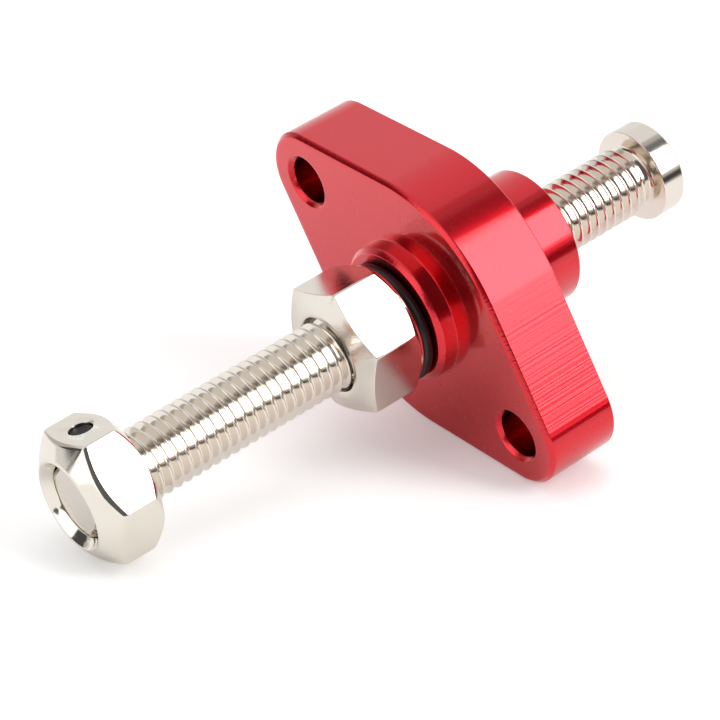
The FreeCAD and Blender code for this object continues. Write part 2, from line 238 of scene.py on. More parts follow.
def flange_section(angle):
    """From the front face over the chamfer and the wall to the back face."""
    insets = [
        (FLANGE_FRONT, FACE_BORDER), (FLANGE_FRONT, FRONT_CHAMFER), (FLANGE_FRONT + FRONT_CHAMFER, 0.0),
        (-BACK_CHAMFER, 0.0), (0.0, BACK_CHAMFER), (0.0, FACE_BORDER),
    ]
    return [(x, flange_radius(angle, inset)) for x, inset in soften(insets, size=0.07)]


print(f"the flange is {-FLANGE_FRONT} mm thick")

# %% [markdown]
# ## The boss, the spigot and the holes
# A short boss stands in front of the flange, a plain spigot behind it, and the stud's bore runs through
# both. Two bolt holes are countersunk in front. Separate cylinders and a boolean could make them, but
# one section line carries the whole way from the front face through the bore to the back face, with its
# bevels, and a second one makes each bolt hole.

# %% The section lines of the boss and the holes
BORE_R = 4.96
BORE_BEVEL = 0.6
BOSS_FRONT = -13.65
BOSS_R = 9.75
BOSS_CHAMFER = 0.67
SPIGOT_END = 10.8
SPIGOT_R = 9.7
ROUND_BORDER_R = 10.3
HOLE_R = 3.3
HOLE_SINK = 0.6
HOLE_BORDER_R = 4.2

boss_line = soften([
    (FLANGE_FRONT, ROUND_BORDER_R), (FLANGE_FRONT, BOSS_R), (BOSS_FRONT + BOSS_CHAMFER, BOSS_R),
    (BOSS_FRONT, BOSS_R - BOSS_CHAMFER), (BOSS_FRONT, BORE_R + BORE_BEVEL),
    (BOSS_FRONT + BORE_BEVEL, BORE_R), (SPIGOT_END - BORE_BEVEL, BORE_R), (SPIGOT_END, BORE_R + BORE_BEVEL),
    (SPIGOT_END, SPIGOT_R - BACK_CHAMFER), (SPIGOT_END - BACK_CHAMFER, SPIGOT_R),
    (0.0, SPIGOT_R), (0.0, ROUND_BORDER_R),
], size=0.09)
hole_line = soften([
    (FLANGE_FRONT, HOLE_BORDER_R), (FLANGE_FRONT, HOLE_R + HOLE_SINK), (FLANGE_FRONT + HOLE_SINK, HOLE_R),
    (-BACK_CHAMFER, HOLE_R), (0.0, HOLE_R + BACK_CHAMFER), (0.0, HOLE_BORDER_R),
], size=0.06)
print("points in the boss line:", len(boss_line), "and in the hole line:", len(hole_line))

# %% [markdown]
# ## The whole body
# The front and back faces are flat, with round holes in them. They could be cut from a plate, but one
# triangle fill between the flange's edge, the boss and the bolt holes makes each face and welds all
# three together. The walls of the bolt holes take a second, deeper red, which is painted shade for the
# dark inside of the holes. The spins come first, because each step of a spin looks at the whole mesh.

# %% Build the body
BOSS_STEPS = 300
HOLE_STEPS = 160
FLANGE_STEPS = 900

bm = bmesh.new()
turned(bm, boss_line, BOSS_STEPS)
for side in (0.0, math.pi):
    direction = FLANGE_CLOCK + side
    centre = (BOLT_HALF * math.cos(direction), BOLT_HALF * math.sin(direction))
    for face in turned(bm, hole_line, HOLE_STEPS, centre):
        # the walls of the bolt holes take the second material, a deeper red that is painted shade for the
        # dark inside of the holes
        if (face.calc_center_median().yz - Vector(centre) * MM).length < (HOLE_R + 0.01) * MM:
            face.material_index = 1
bent_grid(bm, around(FLANGE_STEPS), flange_section)
for x, outward in ((FLANGE_FRONT, -1.0), (0.0, 1.0)):
    bmesh.ops.triangle_fill(bm, use_beauty=True, edges=rim(bm, x), normal=(outward, 0, 0))
body_piece = keep(bm, "body_anodised", "tensioner_body", "housing")

# %% [markdown]
# ## The sealing ring
# A rubber ring is squeezed between the boss and the lock nut, so its round section has flattened sides,
# and it hangs half a millimetre low. A torus with a lattice could be pressed flat, but a superellipse is
# a section of just that shape, and it is turned like the rest.

# %% Build the ring
RING_X = -14.59
RING_R = 6.96
HALF_SQUEEZED = 0.94
HALF_TALL = 1.5
SQUARENESS = 0.7  # 1 is an ellipse, and less is squarer
RING_DROP = -0.5
RING_STEPS = 240
SECTION_STEPS = 48

ring_line = []
for turn in around(SECTION_STEPS) + [0.0]:
    along = math.copysign(abs(math.sin(turn)) ** SQUARENESS, math.sin(turn))
    across = math.copysign(abs(math.cos(turn)) ** SQUARENESS, math.cos(turn))
    ring_line.append((RING_X + HALF_SQUEEZED * along, RING_R + HALF_TALL * across))
bm = bmesh.new()
turned(bm, ring_line, RING_STEPS, centre=(0.0, RING_DROP))
ring_piece = keep(bm, "ring_rubber", "o_ring", "housing")

# %% [markdown]
# ## Hexagons
# The lock nut and the end are both cut from 17 mm hexagon bar, whose corners are a little round. A
# circle of six segments could be extruded and bevelled, but the cones in front then need a boolean. As a
# radius for each angle, a hexagon is its flat over the cosine of the angle from that flat, until a small
# circle rounds the corner. The angles crowd together at the corners, where the shape turns.

# %% The radius of a hexagon
FLAT_R = 8.5
SIXTH = math.pi / 3
HALF_SIXTH = math.pi / 6


def corner_place(corner):
    """How far out a round corner has its centre, and the angle from the flat at which it starts."""
    distance = (FLAT_R - corner) / math.cos(HALF_SIXTH)
    return distance, math.atan2(distance * math.sin(HALF_SIXTH), FLAT_R)


def hex_radius(angle, clock, corner):
    """Radius of a hexagon with round corners; its first corner stands at the clock angle."""
    distance, touch = corner_place(corner)
    local = abs((angle - clock) % SIXTH - HALF_SIXTH)
    if local <= touch:
        return FLAT_R / math.cos(local)
    middle = Vector((math.cos(HALF_SIXTH), math.sin(HALF_SIXTH))) * distance
    return ray_to_circle(local, middle, corner)


def hex_angles(clock, corner, flat_steps, corner_steps=8):
    """Angles for one turn, spread evenly on the flats and close together at the corners."""
    touch = corner_place(corner)[1]
    angles = []
    for sixth in range(6):
        flat = clock + HALF_SIXTH + sixth * SIXTH
        for i in range(flat_steps):
            angles.append(flat + touch * (2 * i / flat_steps - 1))
        for i in range(corner_steps):
            angles.append(flat + touch + (SIXTH - 2 * touch) * i / corner_steps)
    return angles


print(f"sharp corners would stand {FLAT_R / math.cos(HALF_SIXTH):.2f} mm from the axis")

# %% [markdown]
# ## The lock nut
# A tall nut holds the stud. A shallow cone faces the front, its bore opens in a small recess, and at the
# seat the hexagon's corners are cut back to a round collar. Chamfers could be cut with a cone and a
# boolean. Since a cone only moves each point along the axis by how far out it lies, one line of
# arithmetic for each end does the same and leaves clean curved creases on the flats.

# %% Build the lock nut
NUT_CLOCK = math.radians(42.2)
NUT_FRONT = -24.85
NUT_SEAT = -15.55
NUT_CORNER = 0.4
NUT_FACE_R = 6.1
NUT_CONE = math.tan(math.radians(20.5))
SEAT_CUT = math.tan(math.radians(40))
COLLAR_R = 8.55
COLLAR_TALL = 0.35


def nut_section(angle):
    """From the bore over the recess, the cone, the flat and the collar back to the bore."""
    side = hex_radius(angle, NUT_CLOCK, NUT_CORNER)
    crease = NUT_FRONT + (side - NUT_FACE_R) * NUT_CONE
    cut = NUT_SEAT - COLLAR_TALL - max(side - COLLAR_R, 0.0) * SEAT_CUT
    return soften([
        (NUT_SEAT - BORE_BEVEL, BORE_R), (NUT_FRONT + 2.4, BORE_R), (NUT_FRONT + 1.8, 5.3),
        (NUT_FRONT + 0.2, 5.34), (NUT_FRONT, 5.5), (NUT_FRONT, NUT_FACE_R), (crease, side),
        (cut - 0.05, side), (NUT_SEAT - COLLAR_TALL, COLLAR_R),
        (NUT_SEAT - 0.1, COLLAR_R), (NUT_SEAT, COLLAR_R - 0.1),
        (NUT_SEAT, BORE_R + BORE_BEVEL), (NUT_SEAT - BORE_BEVEL, BORE_R),
    ], size=0.1)


bm = bmesh.new()
bent_grid(bm, hex_angles(NUT_CLOCK, NUT_CORNER, flat_steps=40), nut_section)
nut_piece = keep(bm, "lock_nut_nickel", "lock_nut", "nut")

# %% [markdown]
# ## The stud's thread
# The stud has a rolled M10 thread with a pitch of 1.5 mm, and its crests and roots are round. Rings or a
# bump could stand in for it, but the outline and the reflections would give that away. Here the thread
# is real: one pitch of its section is spun once round the axis while it moves one pitch along, and
# copies of that turn follow each other down the stud. Its ends don't meet, so this spin isn't merged.

# %% Spin one turn and repeat it
PITCH = 1.5
STUD_END = -64.6
TURN_STEPS = 72
TURNS = 62
CREST_TO_ROOT = [
    (0.0, 4.9), (0.06, 4.9), (0.095, 4.888), (0.128, 4.856), (0.16, 4.8), (0.4, 4.384), (0.635, 3.977),
    (0.67, 3.94), (0.75, 3.925),
]

bm = bmesh.new()
pitch_line = CREST_TO_ROOT + [(PITCH - x, radius) for x, radius in reversed(CREST_TO_ROOT[:-1])]
verts = [bm.verts.new(Vector((STUD_END - PITCH + x, radius, 0.0)) * MM) for x, radius in pitch_line]
edges = [bm.edges.new(pair) for pair in zip(verts, verts[1:])]
bmesh.ops.spin(
    bm, geom=verts + edges, cent=(0, 0, 0), axis=(1, 0, 0), dvec=Vector((PITCH / TURN_STEPS * MM, 0, 0)),
    angle=FULL_TURN, steps=TURN_STEPS,
)
one_turn = bm.verts[:] + bm.edges[:] + bm.faces[:]
for turn in range(1, TURNS):
    copy = bmesh.ops.duplicate(bm, geom=one_turn)["geom"]
    moved = [item for item in copy if isinstance(item, bmesh.types.BMVert)]
    bmesh.ops.translate(bm, verts=moved, vec=Vector((turn * PITCH * MM, 0, 0)))
bmesh.ops.remove_doubles(bm, verts=bm.verts[:], dist=0.002 * MM)
print(f"thread: {TURNS} turns of {TURN_STEPS} steps, {len(bm.faces)} faces")

# %% [markdown]
# ## The ends of the thread
# A real stud is bevelled at both ends before its thread is rolled, so the last turns run out flat. A
# boolean with a turned blank would do it slowly. Here every point that stands above the bevel is drawn
# in to it, and then a plane cuts each end square and the opening is filled.

# %% Bevel and close the ends
NECK = 28.3
CORE_R = 3.9
END_BEVEL_R = 4.25
NECK_BEVEL_R = 3.95

for vert in bm.verts:
    x = vert.co.x / MM
    radius = math.hypot(vert.co.y, vert.co.z) / MM
    limit = max(CORE_R, min(END_BEVEL_R + x - STUD_END, NECK_BEVEL_R + NECK - x))
    if radius > limit:
        vert.co.y *= limit / radius
        vert.co.z *= limit / radius
for x, outward in ((STUD_END, -1.0), (NECK + 0.05, 1.0)):
    geometry = bm.verts[:] + bm.edges[:] + bm.faces[:]
    bmesh.ops.bisect_plane(
        bm, geom=geometry, plane_co=(x * MM, 0, 0), plane_no=(outward, 0, 0), clear_outer=True, dist=1e-8,
    )
bmesh.ops.holes_fill(bm, edges=[edge for edge in bm.edges if edge.is_boundary], sides=0)
print("thread with its ends:", len(bm.faces), "faces")

# %% [markdown]
# ## The pusher head
# The stud ends in a flat round head that pushes on the tensioner blade, with a short thread relief before
# it. It could be a piece of its own, but on the real stud it is one with the thread, so it goes into the
# same piece. It is turned in an empty mesh, which is much faster, and then put beside the thread.

# %% Build the head and keep the stud
RELIEF = 26.6
HEAD_BACK = 29.3
HEAD_FACE = 33.1
HEAD_R = 6.65
HEAD_BEVEL = 0.3
HEAD_STEPS = 240

head_line = soften([
    (RELIEF, CORE_R), (27.0, 4.0), (29.0, 4.05), (HEAD_BACK, 4.5), (HEAD_BACK, HEAD_R - 0.08),
    (HEAD_BACK + 0.08, HEAD_R), (HEAD_FACE - HEAD_BEVEL, HEAD_R), (HEAD_FACE, HEAD_R - HEAD_BEVEL),
    (HEAD_FACE, 1.0),
], size=0.12)
head = bmesh.new()
turned(head, head_line, HEAD_STEPS)
for x in (RELIEF, HEAD_FACE):
    bmesh.ops.holes_fill(head, edges=rim(head, x), sides=0)
head_mesh = bpy.data.meshes.new("stud_head")
head.to_mesh(head_mesh)
head.free()
bm.from_mesh(head_mesh)
bpy.data.meshes.remove(head_mesh)
stud_piece = keep(bm, "stud_nickel", "adjuster_stud", "hex_end")

# %% [markdown]
# ## The end hexagon
# A hexagon on the stud's outer end takes the spanner. Its polished front is a steep cone that rolls over
# into the flats, and a countersink surrounds the stud's end. A boolean and a bevel could make the cone
# and its edge, but a bevel easily folds over where the crease runs into a corner. In a section line the
# rolled edge is an arc that touches the cone and the flat at every angle.

# %% The section of the end hexagon
END_CLOCK = math.radians(-12.0)
END_FRONT = -65.78
END_BACK = -57.3
END_CORNER = 0.3
END_FACE_R = 6.2
END_CONE = math.radians(35)
EDGE_R = 1.0
EDGE_STEPS = 8
BACK_R = 8.4
INNER_X = -58.0


def end_section(angle):
    """From the bore over the countersink, the cone, the rolled edge and the flat to the back."""
    side = hex_radius(angle, END_CLOCK, END_CORNER)
    crease = END_FRONT + (side - END_FACE_R) * math.tan(END_CONE)
    sink = [(INNER_X, BORE_R), (END_FRONT + 1.3, BORE_R), (END_FRONT + 0.78, 5.5), (END_FRONT + 0.5, 5.75)]
    lip = [sink[-1], (END_FRONT - 0.05, END_FACE_R), (crease, side)]
    line = soften(sink, size=0.1)[:-1] + soften(lip, size=0.55, steps=6)[:-1]
    edge_x = crease + EDGE_R * math.tan((math.pi / 2 - END_CONE) / 2)
    for i in range(EDGE_STEPS + 1):
        lean = END_CONE + (math.pi / 2 - END_CONE) * i / EDGE_STEPS
        line.append((edge_x - EDGE_R * math.cos(lean), side - EDGE_R + EDGE_R * math.sin(lean)))
    cut = END_BACK - max(side - BACK_R, 0.0)
    back = [
        (cut - 0.4, side), (cut, side), (END_BACK, BACK_R), (END_BACK, BORE_R + BORE_BEVEL),
        (END_BACK - BORE_BEVEL, BORE_R),
    ]
    return line + soften(back, size=0.15)[1:] + [(INNER_X, BORE_R)]


bm = bmesh.new()
bent_grid(bm, hex_angles(END_CLOCK, END_CORNER, flat_steps=48), end_section)

# %% [markdown]
# ## The pin hole
# A black pin in one flat locks the hexagon to the stud. Its hole could be cut with a boolean. Instead the
# flat's faces are taken out, circles are bridged into the wall of the hole, and a triangle fill between
# the flat's border and the first circle puts the flat back, so it stays perfectly even.

# %% Drill the flat and keep the hexagon
PIN_X = -60.65
PIN_STEPS = 72
PIN_HOLE = ((1.68, FLAT_R), (1.6, 8.42), (1.6, 4.9))  # radius, and height above the stud's axis
pin_way = Vector((0, math.cos(END_CLOCK + math.pi / 2), math.sin(END_CLOCK + math.pi / 2)))
to_flat = Matrix.Rotation(END_CLOCK, 4, "X")


def round_wall(bm, sizes):
    """Circles of (radius, height) round the pin's axis, bridged; gives the edges of each circle."""
    circles = []
    for radius, height in sizes:
        place = to_flat @ Matrix.Translation(Vector((PIN_X, 0, height)) * MM)
        circle = bmesh.ops.create_circle(bm, segments=PIN_STEPS, radius=radius * MM, matrix=place)["verts"]
        circles.append(list(dict.fromkeys(edge for vert in circle for edge in vert.link_edges)))
    for first, second in zip(circles, circles[1:]):
        bmesh.ops.bridge_loops(bm, edges=first + second)
    return circles


bm.normal_update()
upright = [face for face in bm.faces if abs(face.normal.dot(pin_way)) > 0.99999]
flat = [face for face in upright if face.calc_center_median().dot(pin_way) > 0]
bmesh.ops.delete(bm, geom=flat, context="FACES_ONLY")
open_edges = [edge for edge in bm.edges if edge.is_boundary]
border = [edge for edge in open_edges if min(vert.co.dot(pin_way) for vert in edge.verts) > BACK_R * MM]
hole = round_wall(bm, PIN_HOLE)
bmesh.ops.triangle_fill(bm, use_beauty=True, edges=border + hole[0], normal=pin_way)
end_piece = keep(bm, "end_hexagon_nickel", "hex_end_nut", "hex_end")

# %% [markdown]
# ## The pin
# The pin is a short dowel, sunk a little below the flat, with a bevelled end. A cylinder with a bevel
# would do as well, but the helper that made its hole makes the pin too, from the stud's surface upward.

# %% Build the pin
PIN_SIZES = ((1.55, 4.97), (1.55, 8.05), (1.52, 8.14), (1.4, 8.2))

bm = bmesh.new()
circles = round_wall(bm, PIN_SIZES)
for end in (circles[0], circles[-1]):
    bmesh.ops.contextual_create(bm, geom=end)
pin_piece = keep(bm, "pin_black", "lock_pin", "hex_end")


# %% [markdown]
# ## Tools for the finishes
# Every finish on this part is metal or rubber, so it is a shader with patterns that steer its roughness
# and its bump. Pictures of such surfaces could be wrapped round the pieces, but patterns of noise need no
# unwrapping and have no seams. They read Object coordinates in millimetres, so a scale is simply how many
# grains or lines there are in a millimetre.

# %% A colour, a node and a new finish
def linear(code):
    """A linear colour from an sRGB hex code."""
    parts = [int(code[i:i + 2], 16) / 255 for i in (1, 3, 5)]
    return [part / 12.92 if part <= 0.04045 else ((part + 0.055) / 1.055) ** 2.4 for part in parts] + [1.0]


def add(tree, kind, inputs=None, **settings):
    """Add a shader node; an input is a value or another node's output."""
    made = tree.nodes.new(kind)
    for name, value in settings.items():
        setattr(made, name, value)
    for name, value in (inputs or {}).items():
        if isinstance(value, bpy.types.NodeSocket):
            tree.links.new(value, made.inputs[name])
        else:
            made.inputs[name].default_value = value
    return made


def new_finish(name):
    """A new material with its node tree, its shader and its place in millimetres."""
    material = bpy.data.materials.new(name)
    material.use_nodes = True
    tree = material.node_tree
    metres = add(tree, "ShaderNodeTexCoord").outputs["Object"]
    place = add(tree, "ShaderNodeVectorMath", {0: metres, 1: (1 / MM, 1 / MM, 1 / MM)}, operation="MULTIPLY")
    return material, tree, tree.nodes["Principled BSDF"], place.outputs["Vector"]


def near(tree, value, middle, outer, inner):
    """One within inner of a middle value, falling smoothly to nothing at outer."""
    away = add(tree, "ShaderNodeMath", {0: value, 1: middle}, operation="SUBTRACT")
    distance = add(tree, "ShaderNodeMath", {0: away.outputs[0]}, operation="ABSOLUTE")
    limits = {"Value": distance.outputs[0], "From Min": outer, "From Max": inner}
    return add(tree, "ShaderNodeMapRange", limits, interpolation_type="SMOOTHSTEP").outputs["Result"]


print("a middle grey in linear light:", round(linear("#808080")[0], 3))

# %% [markdown]
# ## Bright nickel plating
# The nut, the stud and the end are steel under bright nickel: a warm, pale mirror. A plain mirror looks
# like a computer's, so three things break it up, as on the real plating: a cloudy change of gloss, fine
# turning lines that run round the axis, and a grain. The nut is the grainiest and the end is polished.
# Bump was chosen over real relief because all of it is only a few thousandths of a millimetre deep.

# %% Nickel for the nut, the stud and the end
TURNING_PER_MM = 9.0  # real turning lines are finer, and these are drawn as coarse as they need to show
TURNING_DEEP = 0.003 * MM
CLOUDS_PER_MM = 1.1


def bright_nickel(name, colour, rough, grain_size, grain_deep):
    """Nickel plated steel; the eye sees a warm mirror that is a little uneven."""
    material, tree, shader, place = new_finish(name)
    apart = add(tree, "ShaderNodeSeparateXYZ", {"Vector": place})
    across = add(tree, "ShaderNodeCombineXYZ", {"Y": apart.outputs["Y"], "Z": apart.outputs["Z"]})
    radius = add(tree, "ShaderNodeVectorMath", {0: across.outputs["Vector"]}, operation="LENGTH")
    lines = add(
        tree, "ShaderNodeTexNoise", {"W": radius.outputs["Value"], "Scale": TURNING_PER_MM, "Detail": 3.0},
        noise_dimensions="1D",
    )
    cloud = add(tree, "ShaderNodeTexNoise", {"Vector": place, "Scale": CLOUDS_PER_MM, "Detail": 4.0})
    grain = add(tree, "ShaderNodeTexNoise", {"Vector": place, "Scale": 1 / grain_size, "Detail": 2.0})
    shader.inputs["Base Color"].default_value = linear(colour)
    shader.inputs["Metallic"].default_value = 1.0
    gloss = {"Value": cloud.outputs["Fac"], "To Min": rough * 0.6, "To Max": rough * 1.4}
    uneven = add(tree, "ShaderNodeMapRange", gloss)
    tree.links.new(uneven.outputs["Result"], shader.inputs["Roughness"])
    ridges = {"Height": lines.outputs["Fac"], "Distance": TURNING_DEEP, "Strength": 0.5}
    normal = add(tree, "ShaderNodeBump", ridges).outputs["Normal"]
    grit = {"Height": grain.outputs["Fac"], "Distance": grain_deep * MM, "Normal": normal}
    normal = add(tree, "ShaderNodeBump", grit).outputs["Normal"]
    tree.links.new(normal, shader.inputs["Normal"])
    print(f"{name}: roughness about {rough}, grain {grain_size} mm")
    return material


# the real grain is finer than these sizes, and is drawn as coarse as it needs to show
plated = [
    # piece, name, colour, roughness, and the grain's size and depth in millimetres
    (nut_piece, "grainy_nickel_plating", "#ECE5DB", 0.15, 0.12, 0.008),
    (stud_piece, "rolled_thread_nickel", "#EDE5DB", 0.11, 0.15, 0.004),
    (end_piece, "polished_nickel_plating", "#EEE7DC", 0.08, 0.22, 0.003),
]
for piece, *look in plated:
    piece.data.materials.append(bright_nickel(*look))

# %% [markdown]
# ## Red anodising
# The body is milled aluminium with a red anodised skin: a dyed, clear oxide over bright metal. Paint
# would hide the metal, so this is a red metal of medium gloss under a thin clear coat, which gives the
# soft red reflections and the crisp white ones above them. The cutter left two kinds of marks: short
# ticks across each chamfer, and chatter lines on one straight side that deepen towards its end. They are
# bump that a mask keeps in its place, because modelled lines as fine as these would need huge meshes.

# %% Marks of the cutter
TICKS_PER_MM = 4.0
TICK_DEEP = 0.014
CHATTER_PER_MM = 2.7
CHATTER_DEEP = 0.016
CHATTER_FROM = -6.0  # along the side, from the middle of the flange
CHATTER_FULL = 15.0
ETCH_PER_MM = 2.0  # the etched skin's real grain is finer, and it is drawn as coarse as it needs to show
ETCH_DEEP = 0.01
CHAMFER_SLOPE = math.cos(math.pi / 4)
CHATTER_SIDE = FLANGE_CLOCK + math.pi - LEAN
SIDE_WAY = Vector((0, math.cos(CHATTER_SIDE), math.sin(CHATTER_SIDE)))
ALONG_WAY = Vector((0, -SIDE_WAY.z, SIDE_WAY.y))


def cutter_marks(tree, place, etch):
    """The normal of a milled skin, with ticks on its chamfers and chatter on one side."""
    facing = add(tree, "ShaderNodeTexCoord").outputs["Normal"]
    around_mm = add(tree, "ShaderNodeAttribute", attribute_name="around_mm").outputs["Fac"]
    ticks = add(
        tree, "ShaderNodeTexNoise", {"W": around_mm, "Scale": TICKS_PER_MM, "Detail": 1.0},
        noise_dimensions="1D",
    )
    forward = add(tree, "ShaderNodeVectorMath", {0: facing, 1: (1, 0, 0)}, operation="DOT_PRODUCT")
    slope = add(tree, "ShaderNodeMath", {0: forward.outputs["Value"]}, operation="ABSOLUTE")
    on_chamfer = near(tree, slope.outputs[0], CHAMFER_SLOPE, 0.12, 0.06)
    lengthwise = add(tree, "ShaderNodeVectorMath", {0: place, 1: ALONG_WAY}, operation="DOT_PRODUCT")
    along = lengthwise.outputs["Value"]
    waves = add(
        tree, "ShaderNodeTexNoise", {"W": along, "Scale": CHATTER_PER_MM, "Detail": 1.5},
        noise_dimensions="1D",
    )
    sideways = add(tree, "ShaderNodeVectorMath", {0: facing, 1: SIDE_WAY}, operation="DOT_PRODUCT")
    on_side = near(tree, sideways.outputs["Value"], 1.0, 0.02, 0.01)
    ramp = {"Value": along, "From Min": CHATTER_FROM, "From Max": CHATTER_FULL}
    deeper = add(tree, "ShaderNodeMapRange", ramp).outputs["Result"]
    chatter = add(tree, "ShaderNodeMath", {0: on_side, 1: deeper}, operation="MULTIPLY").outputs[0]
    marks = ((ticks, on_chamfer, TICK_DEEP), (waves, chatter, CHATTER_DEEP), (etch, 0.05, ETCH_DEEP))
    below = {}
    for pattern, strength, deep in marks:
        inputs = {"Height": pattern.outputs["Fac"], "Strength": strength, "Distance": deep * MM, **below}
        below = {"Normal": add(tree, "ShaderNodeBump", inputs).outputs["Normal"]}
    return below["Normal"]


print(f"the side with chatter faces {math.degrees(CHATTER_SIDE):.1f} degrees")


# %% Red for the body, and a deeper red that paints the shade inside its bolt holes
def red_anodising(name, colour):
    """Red anodised aluminium; the eye sees deep red metal with white glints on a clear skin."""
    material, tree, shader, place = new_finish(name)
    etch = add(tree, "ShaderNodeTexNoise", {"Vector": place, "Scale": ETCH_PER_MM, "Detail": 5.0})
    shader.inputs["Base Color"].default_value = linear(colour)
    shader.inputs["Metallic"].default_value = 1.0
    shader.inputs["Coat Weight"].default_value = 1.0
    shader.inputs["Coat IOR"].default_value = 1.5
    shader.inputs["Coat Roughness"].default_value = 0.05
    uneven = add(tree, "ShaderNodeMapRange", {"Value": etch.outputs["Fac"], "To Min": 0.22, "To Max": 0.3})
    tree.links.new(uneven.outputs["Result"], shader.inputs["Roughness"])
    normal = cutter_marks(tree, place, etch)
    for socket in ("Normal", "Coat Normal"):
        tree.links.new(normal, shader.inputs[socket])
    print(f"{name}: {colour}")
    return material


body_piece.data.materials.append(red_anodising("red_anodised_aluminium", "#E10D23"))
# the second red is darker only to paint the shade inside the bolt holes, not a different finish
body_piece.data.materials.append(red_anodising("red_anodised_painted_hole_shade", "#A50918"))

# %% [markdown]
# ## Black rubber
# The ring is moulded nitrile rubber. It is never quite black, and it is oily enough for a soft highlight
# along its crown. Plain black would make it a hole in the picture, so a moulded grain steers its gloss
# and a shallow bump.

# %% Rubber for the ring
MOULD_PER_MM = 6.0  # the real grain is finer, and is drawn as coarse as it needs to show
material, tree, shader, place = new_finish("black_nitrile_rubber")
mould = add(tree, "ShaderNodeTexNoise", {"Vector": place, "Scale": MOULD_PER_MM, "Detail": 3.0})
grain = mould.outputs["Fac"]
shader.inputs["Base Color"].default_value = linear("#0E110F")
uneven = add(tree, "ShaderNodeMapRange", {"Value": grain, "To Min": 0.28, "To Max": 0.42})
tree.links.new(uneven.outputs["Result"], shader.inputs["Roughness"])
relief = add(tree, "ShaderNodeBump", {"Height": grain, "Distance": 0.01 * MM, "Strength": 0.4})
tree.links.new(relief.outputs["Normal"], shader.inputs["Normal"])
ring_piece.data.materials.append(material)
print("ring finish:", material.name)

# %% [markdown]
# ## Black oxide
# The pin is blackened steel: dark and dull, with the metal still glinting through. It is too small for
# more than a mottled gloss, halfway between a metal and a plain black.

# %% Oxide for the pin
MOTTLES_PER_MM = 5.0
material, tree, shader, place = new_finish("black_oxide_steel")
mottle = add(tree, "ShaderNodeTexNoise", {"Vector": place, "Scale": MOTTLES_PER_MM, "Detail": 4.0})
shader.inputs["Base Color"].default_value = linear("#1B1A1A")
shader.inputs["Metallic"].default_value = 0.6
uneven = add(tree, "ShaderNodeMapRange", {"Value": mottle.outputs["Fac"], "To Min": 0.4, "To Max": 0.6})
tree.links.new(uneven.outputs["Result"], shader.inputs["Roughness"])
pin_piece.data.materials.append(material)
print("pin finish:", material.name)

# %% [markdown]
# ## Where the part lies
# The tensioner lies on a table, on the flange's lower side and on one corner of the hexagon. The pieces
# could be tilted, but they have to stay where the CAD frame has them. So the table is tilted instead: up
# is the way that is square to a line through the two resting points. The other directions follow from up
# and from the way that the camera looks.

# %% Directions of the table
REST_FLANGE = Vector((-10.35, 0, -18.97))
REST_HEXAGON = Vector((-62.0, 0, -9.36))
LOOK = Vector((0.6155, 0.778, -0.1256))
lie = REST_FLANGE - REST_HEXAGON
UP = Vector((-lie.z, 0, lie.x)).normalized()
AHEAD = (LOOK - UP * LOOK.dot(UP)).normalized()
RIGHT = AHEAD.cross(UP)
MIDDLE = Vector((-16, 0, 0)) * MM
print("up:", [round(part, 4) for part in UP])

# %% [markdown]
# ## The overhead lamp
# One large softbox hangs over the table, and gives the soft shadow under the part. A sun or a point lamp
# would draw hard edges. It isn't seen in reflections, because the studio round the part is painted
# separately and has its own ceiling.

# %% Hang the lamp
LAMP_RISE = math.radians(86)
LAMP_AWAY = 0.9
LAMP_SIZE = 0.8
LAMP_BRIGHTNESS = 1.1

light = bpy.data.lights.new("overhead", "AREA")
light.shape = "RECTANGLE"
light.size = LAMP_SIZE
light.size_y = LAMP_SIZE
light.energy = math.pi * LAMP_SIZE * LAMP_SIZE * LAMP_BRIGHTNESS
lamp = bpy.data.objects.new("overhead", light)
way = AHEAD * math.cos(LAMP_RISE) + UP * math.sin(LAMP_RISE)
across = UP.cross(way).normalized()
axes = Matrix((across, way.cross(across), way)).transposed()
lamp.matrix_world = Matrix.Translation(MIDDLE + way * LAMP_AWAY) @ axes.to_4x4()
lamp.visible_camera = False
lamp.visible_glossy = False
bpy.context.scene.collection.objects.link(lamp)
print(f"overhead lamp: {light.energy:.2f} W")

# %% [markdown]
# ## The floor
# The table top is plain white paper, and one large grid face would be enough for the camera. Its size
# matters for the nickel, which shows where the paper ends and the room begins. It reaches about a quarter
# of a metre round the part, because with more of it the thread loses its dark lines.

# %% Lay the floor
FLOOR_WIDE = 0.52
FLOOR_DEEP = 0.62
FLOOR_AHEAD = 0.05
FLOOR_LEFT = 0.09

below_middle = MIDDLE - UP * (MIDDLE - REST_FLANGE * MM).dot(UP)
place = Matrix.Translation(below_middle + AHEAD * FLOOR_AHEAD - RIGHT * FLOOR_LEFT)
axes = Matrix((RIGHT, AHEAD, UP)).transposed().to_4x4()
bm = bmesh.new()
bmesh.ops.create_grid(bm, x_segments=1, y_segments=1, size=0.5)
mesh = bpy.data.meshes.new("white_floor")
bm.to_mesh(mesh)
bm.free()
floor = bpy.data.objects.new("white_floor", mesh)
floor.matrix_world = place @ axes @ Matrix.Diagonal((FLOOR_WIDE, FLOOR_DEEP, 1, 1))
bpy.context.scene.collection.objects.link(floor)
print(f"floor: {FLOOR_WIDE} by {FLOOR_DEEP} m")

# %% [markdown]
# ## White paper
# Paper in a studio photograph comes out white because it is lit more than the part. More light would
# bleach the part as well, so the paper is plain white with a little glow of its own that only the camera
# sees, and a smaller one for reflections. The shadow stays. From below the floor is clear, so that a
# view from there still shows the part.

# %% White paper for the floor
FLOOR_LIFT = 0.29
MIRROR_LIFT = 0.08

